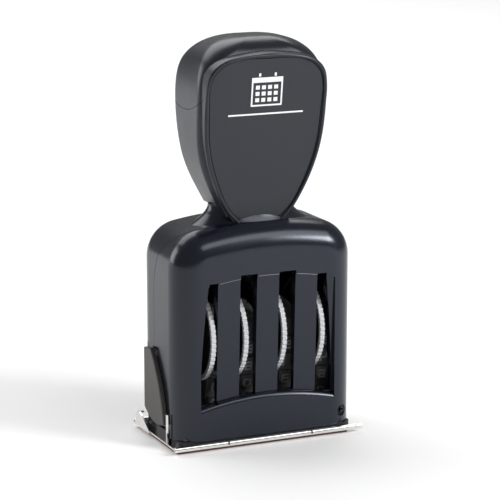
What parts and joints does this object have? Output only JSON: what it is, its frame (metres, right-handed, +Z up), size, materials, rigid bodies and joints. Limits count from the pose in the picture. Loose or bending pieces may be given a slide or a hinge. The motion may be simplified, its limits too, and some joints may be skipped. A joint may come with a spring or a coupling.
{
  "type": "rotary_date_stamp",
  "caption": "Rotary hand date stamp with black plastic housing, teardrop handle, thumb wheels that turn date bands, side latches and a plated holder for a rubber text die.",
  "frame": {"origin": "middle of the base, on the surface that the stamp stands on", "axes": "+Z up along the handle, X across the row of wheels, -Y is the front with the finger slots"},
  "size_m": [0.057, 0.0322, 0.1127],
  "materials": {
    "gloss_black": "moulded black plastic with a high gloss",
    "satin_black": "black plastic with a satin gloss",
    "matte_label": "fine-textured matte black plastic",
    "matte_black": "matte black plastic",
    "latch_black": "matte warm black plastic",
    "nickel": "bright nickel plate",
    "steel": "plain steel",
    "dark_steel": "blackened steel",
    "wheel_grey": "light grey moulded plastic",
    "band_rubber": "grey rubber",
    "die_rubber": "dark red-brown stamp rubber"
  },
  "bodies": {
    "housing": {"front_shell": "gloss_black", "rear_shell": "gloss_black", "neck_collar": "gloss_black", "handle_body": "satin_black", "handle_cap": "satin_black", "front_label_plate": "matte_label", "handle_screw": "steel", "housing_screws": "dark_steel", "base_frame": "matte_black", "latch_pins": "steel", "side_ledges": "matte_black", "wheel_axle": "steel", "axle_clips": "dark_steel", "wheel_spacers": "matte_black", "left_side_plate": "steel", "right_side_plate": "steel", "nose_bar": "matte_black", "tie_rods": "steel", "detent_comb": "dark_steel", "date_band_1": "band_rubber", "date_band_2": "band_rubber", "date_band_3": "band_rubber", "date_band_4": "band_rubber"},
    "plate_holder": {"text_plate_holder": "nickel", "text_die": "die_rubber"},
    "left_latch_body": {"left_latch": "latch_black"},
    "right_latch_body": {"right_latch": "latch_black"},
    "wheel_1": {"date_wheel_1": "wheel_grey"},
    "wheel_2": {"date_wheel_2": "wheel_grey"},
    "wheel_3": {"date_wheel_3": "wheel_grey"},
    "wheel_4": {"date_wheel_4": "wheel_grey"}
  },
  "joints": [
    {"name": "turn_wheel_1", "type": "hinge", "parent": "housing", "child": "wheel_1", "pos_m": [-0.01624, -0.00075, 0.03], "axis": [1, 0, 0], "continuous": true},
    {"name": "turn_wheel_2", "type": "hinge", "parent": "housing", "child": "wheel_2", "pos_m": [-0.00651, -0.00075, 0.03], "axis": [1, 0, 0], "continuous": true},
    {"name": "turn_wheel_3", "type": "hinge", "parent": "housing", "child": "wheel_3", "pos_m": [0.00511, -0.00075, 0.03], "axis": [1, 0, 0], "continuous": true},
    {"name": "turn_wheel_4", "type": "hinge", "parent": "housing", "child": "wheel_4", "pos_m": [0.01674, -0.00075, 0.03], "axis": [1, 0, 0], "continuous": true},
    {"name": "left_latch_swing", "type": "hinge", "parent": "housing", "child": "left_latch_body", "pos_m": [-0.026, 0.003, 0.0242], "axis": [0, 1, 0], "range_deg": [0, 12]},
    {"name": "right_latch_swing", "type": "hinge", "parent": "housing", "child": "right_latch_body", "pos_m": [0.026, 0.003, 0.0242], "axis": [0, -1, 0], "range_deg": [0, 12]},
    {"name": "plate_release", "type": "slide", "parent": "housing", "child": "plate_holder", "axis": [0, 0, -1], "range_m": [0, 0.006]}
  ]
}
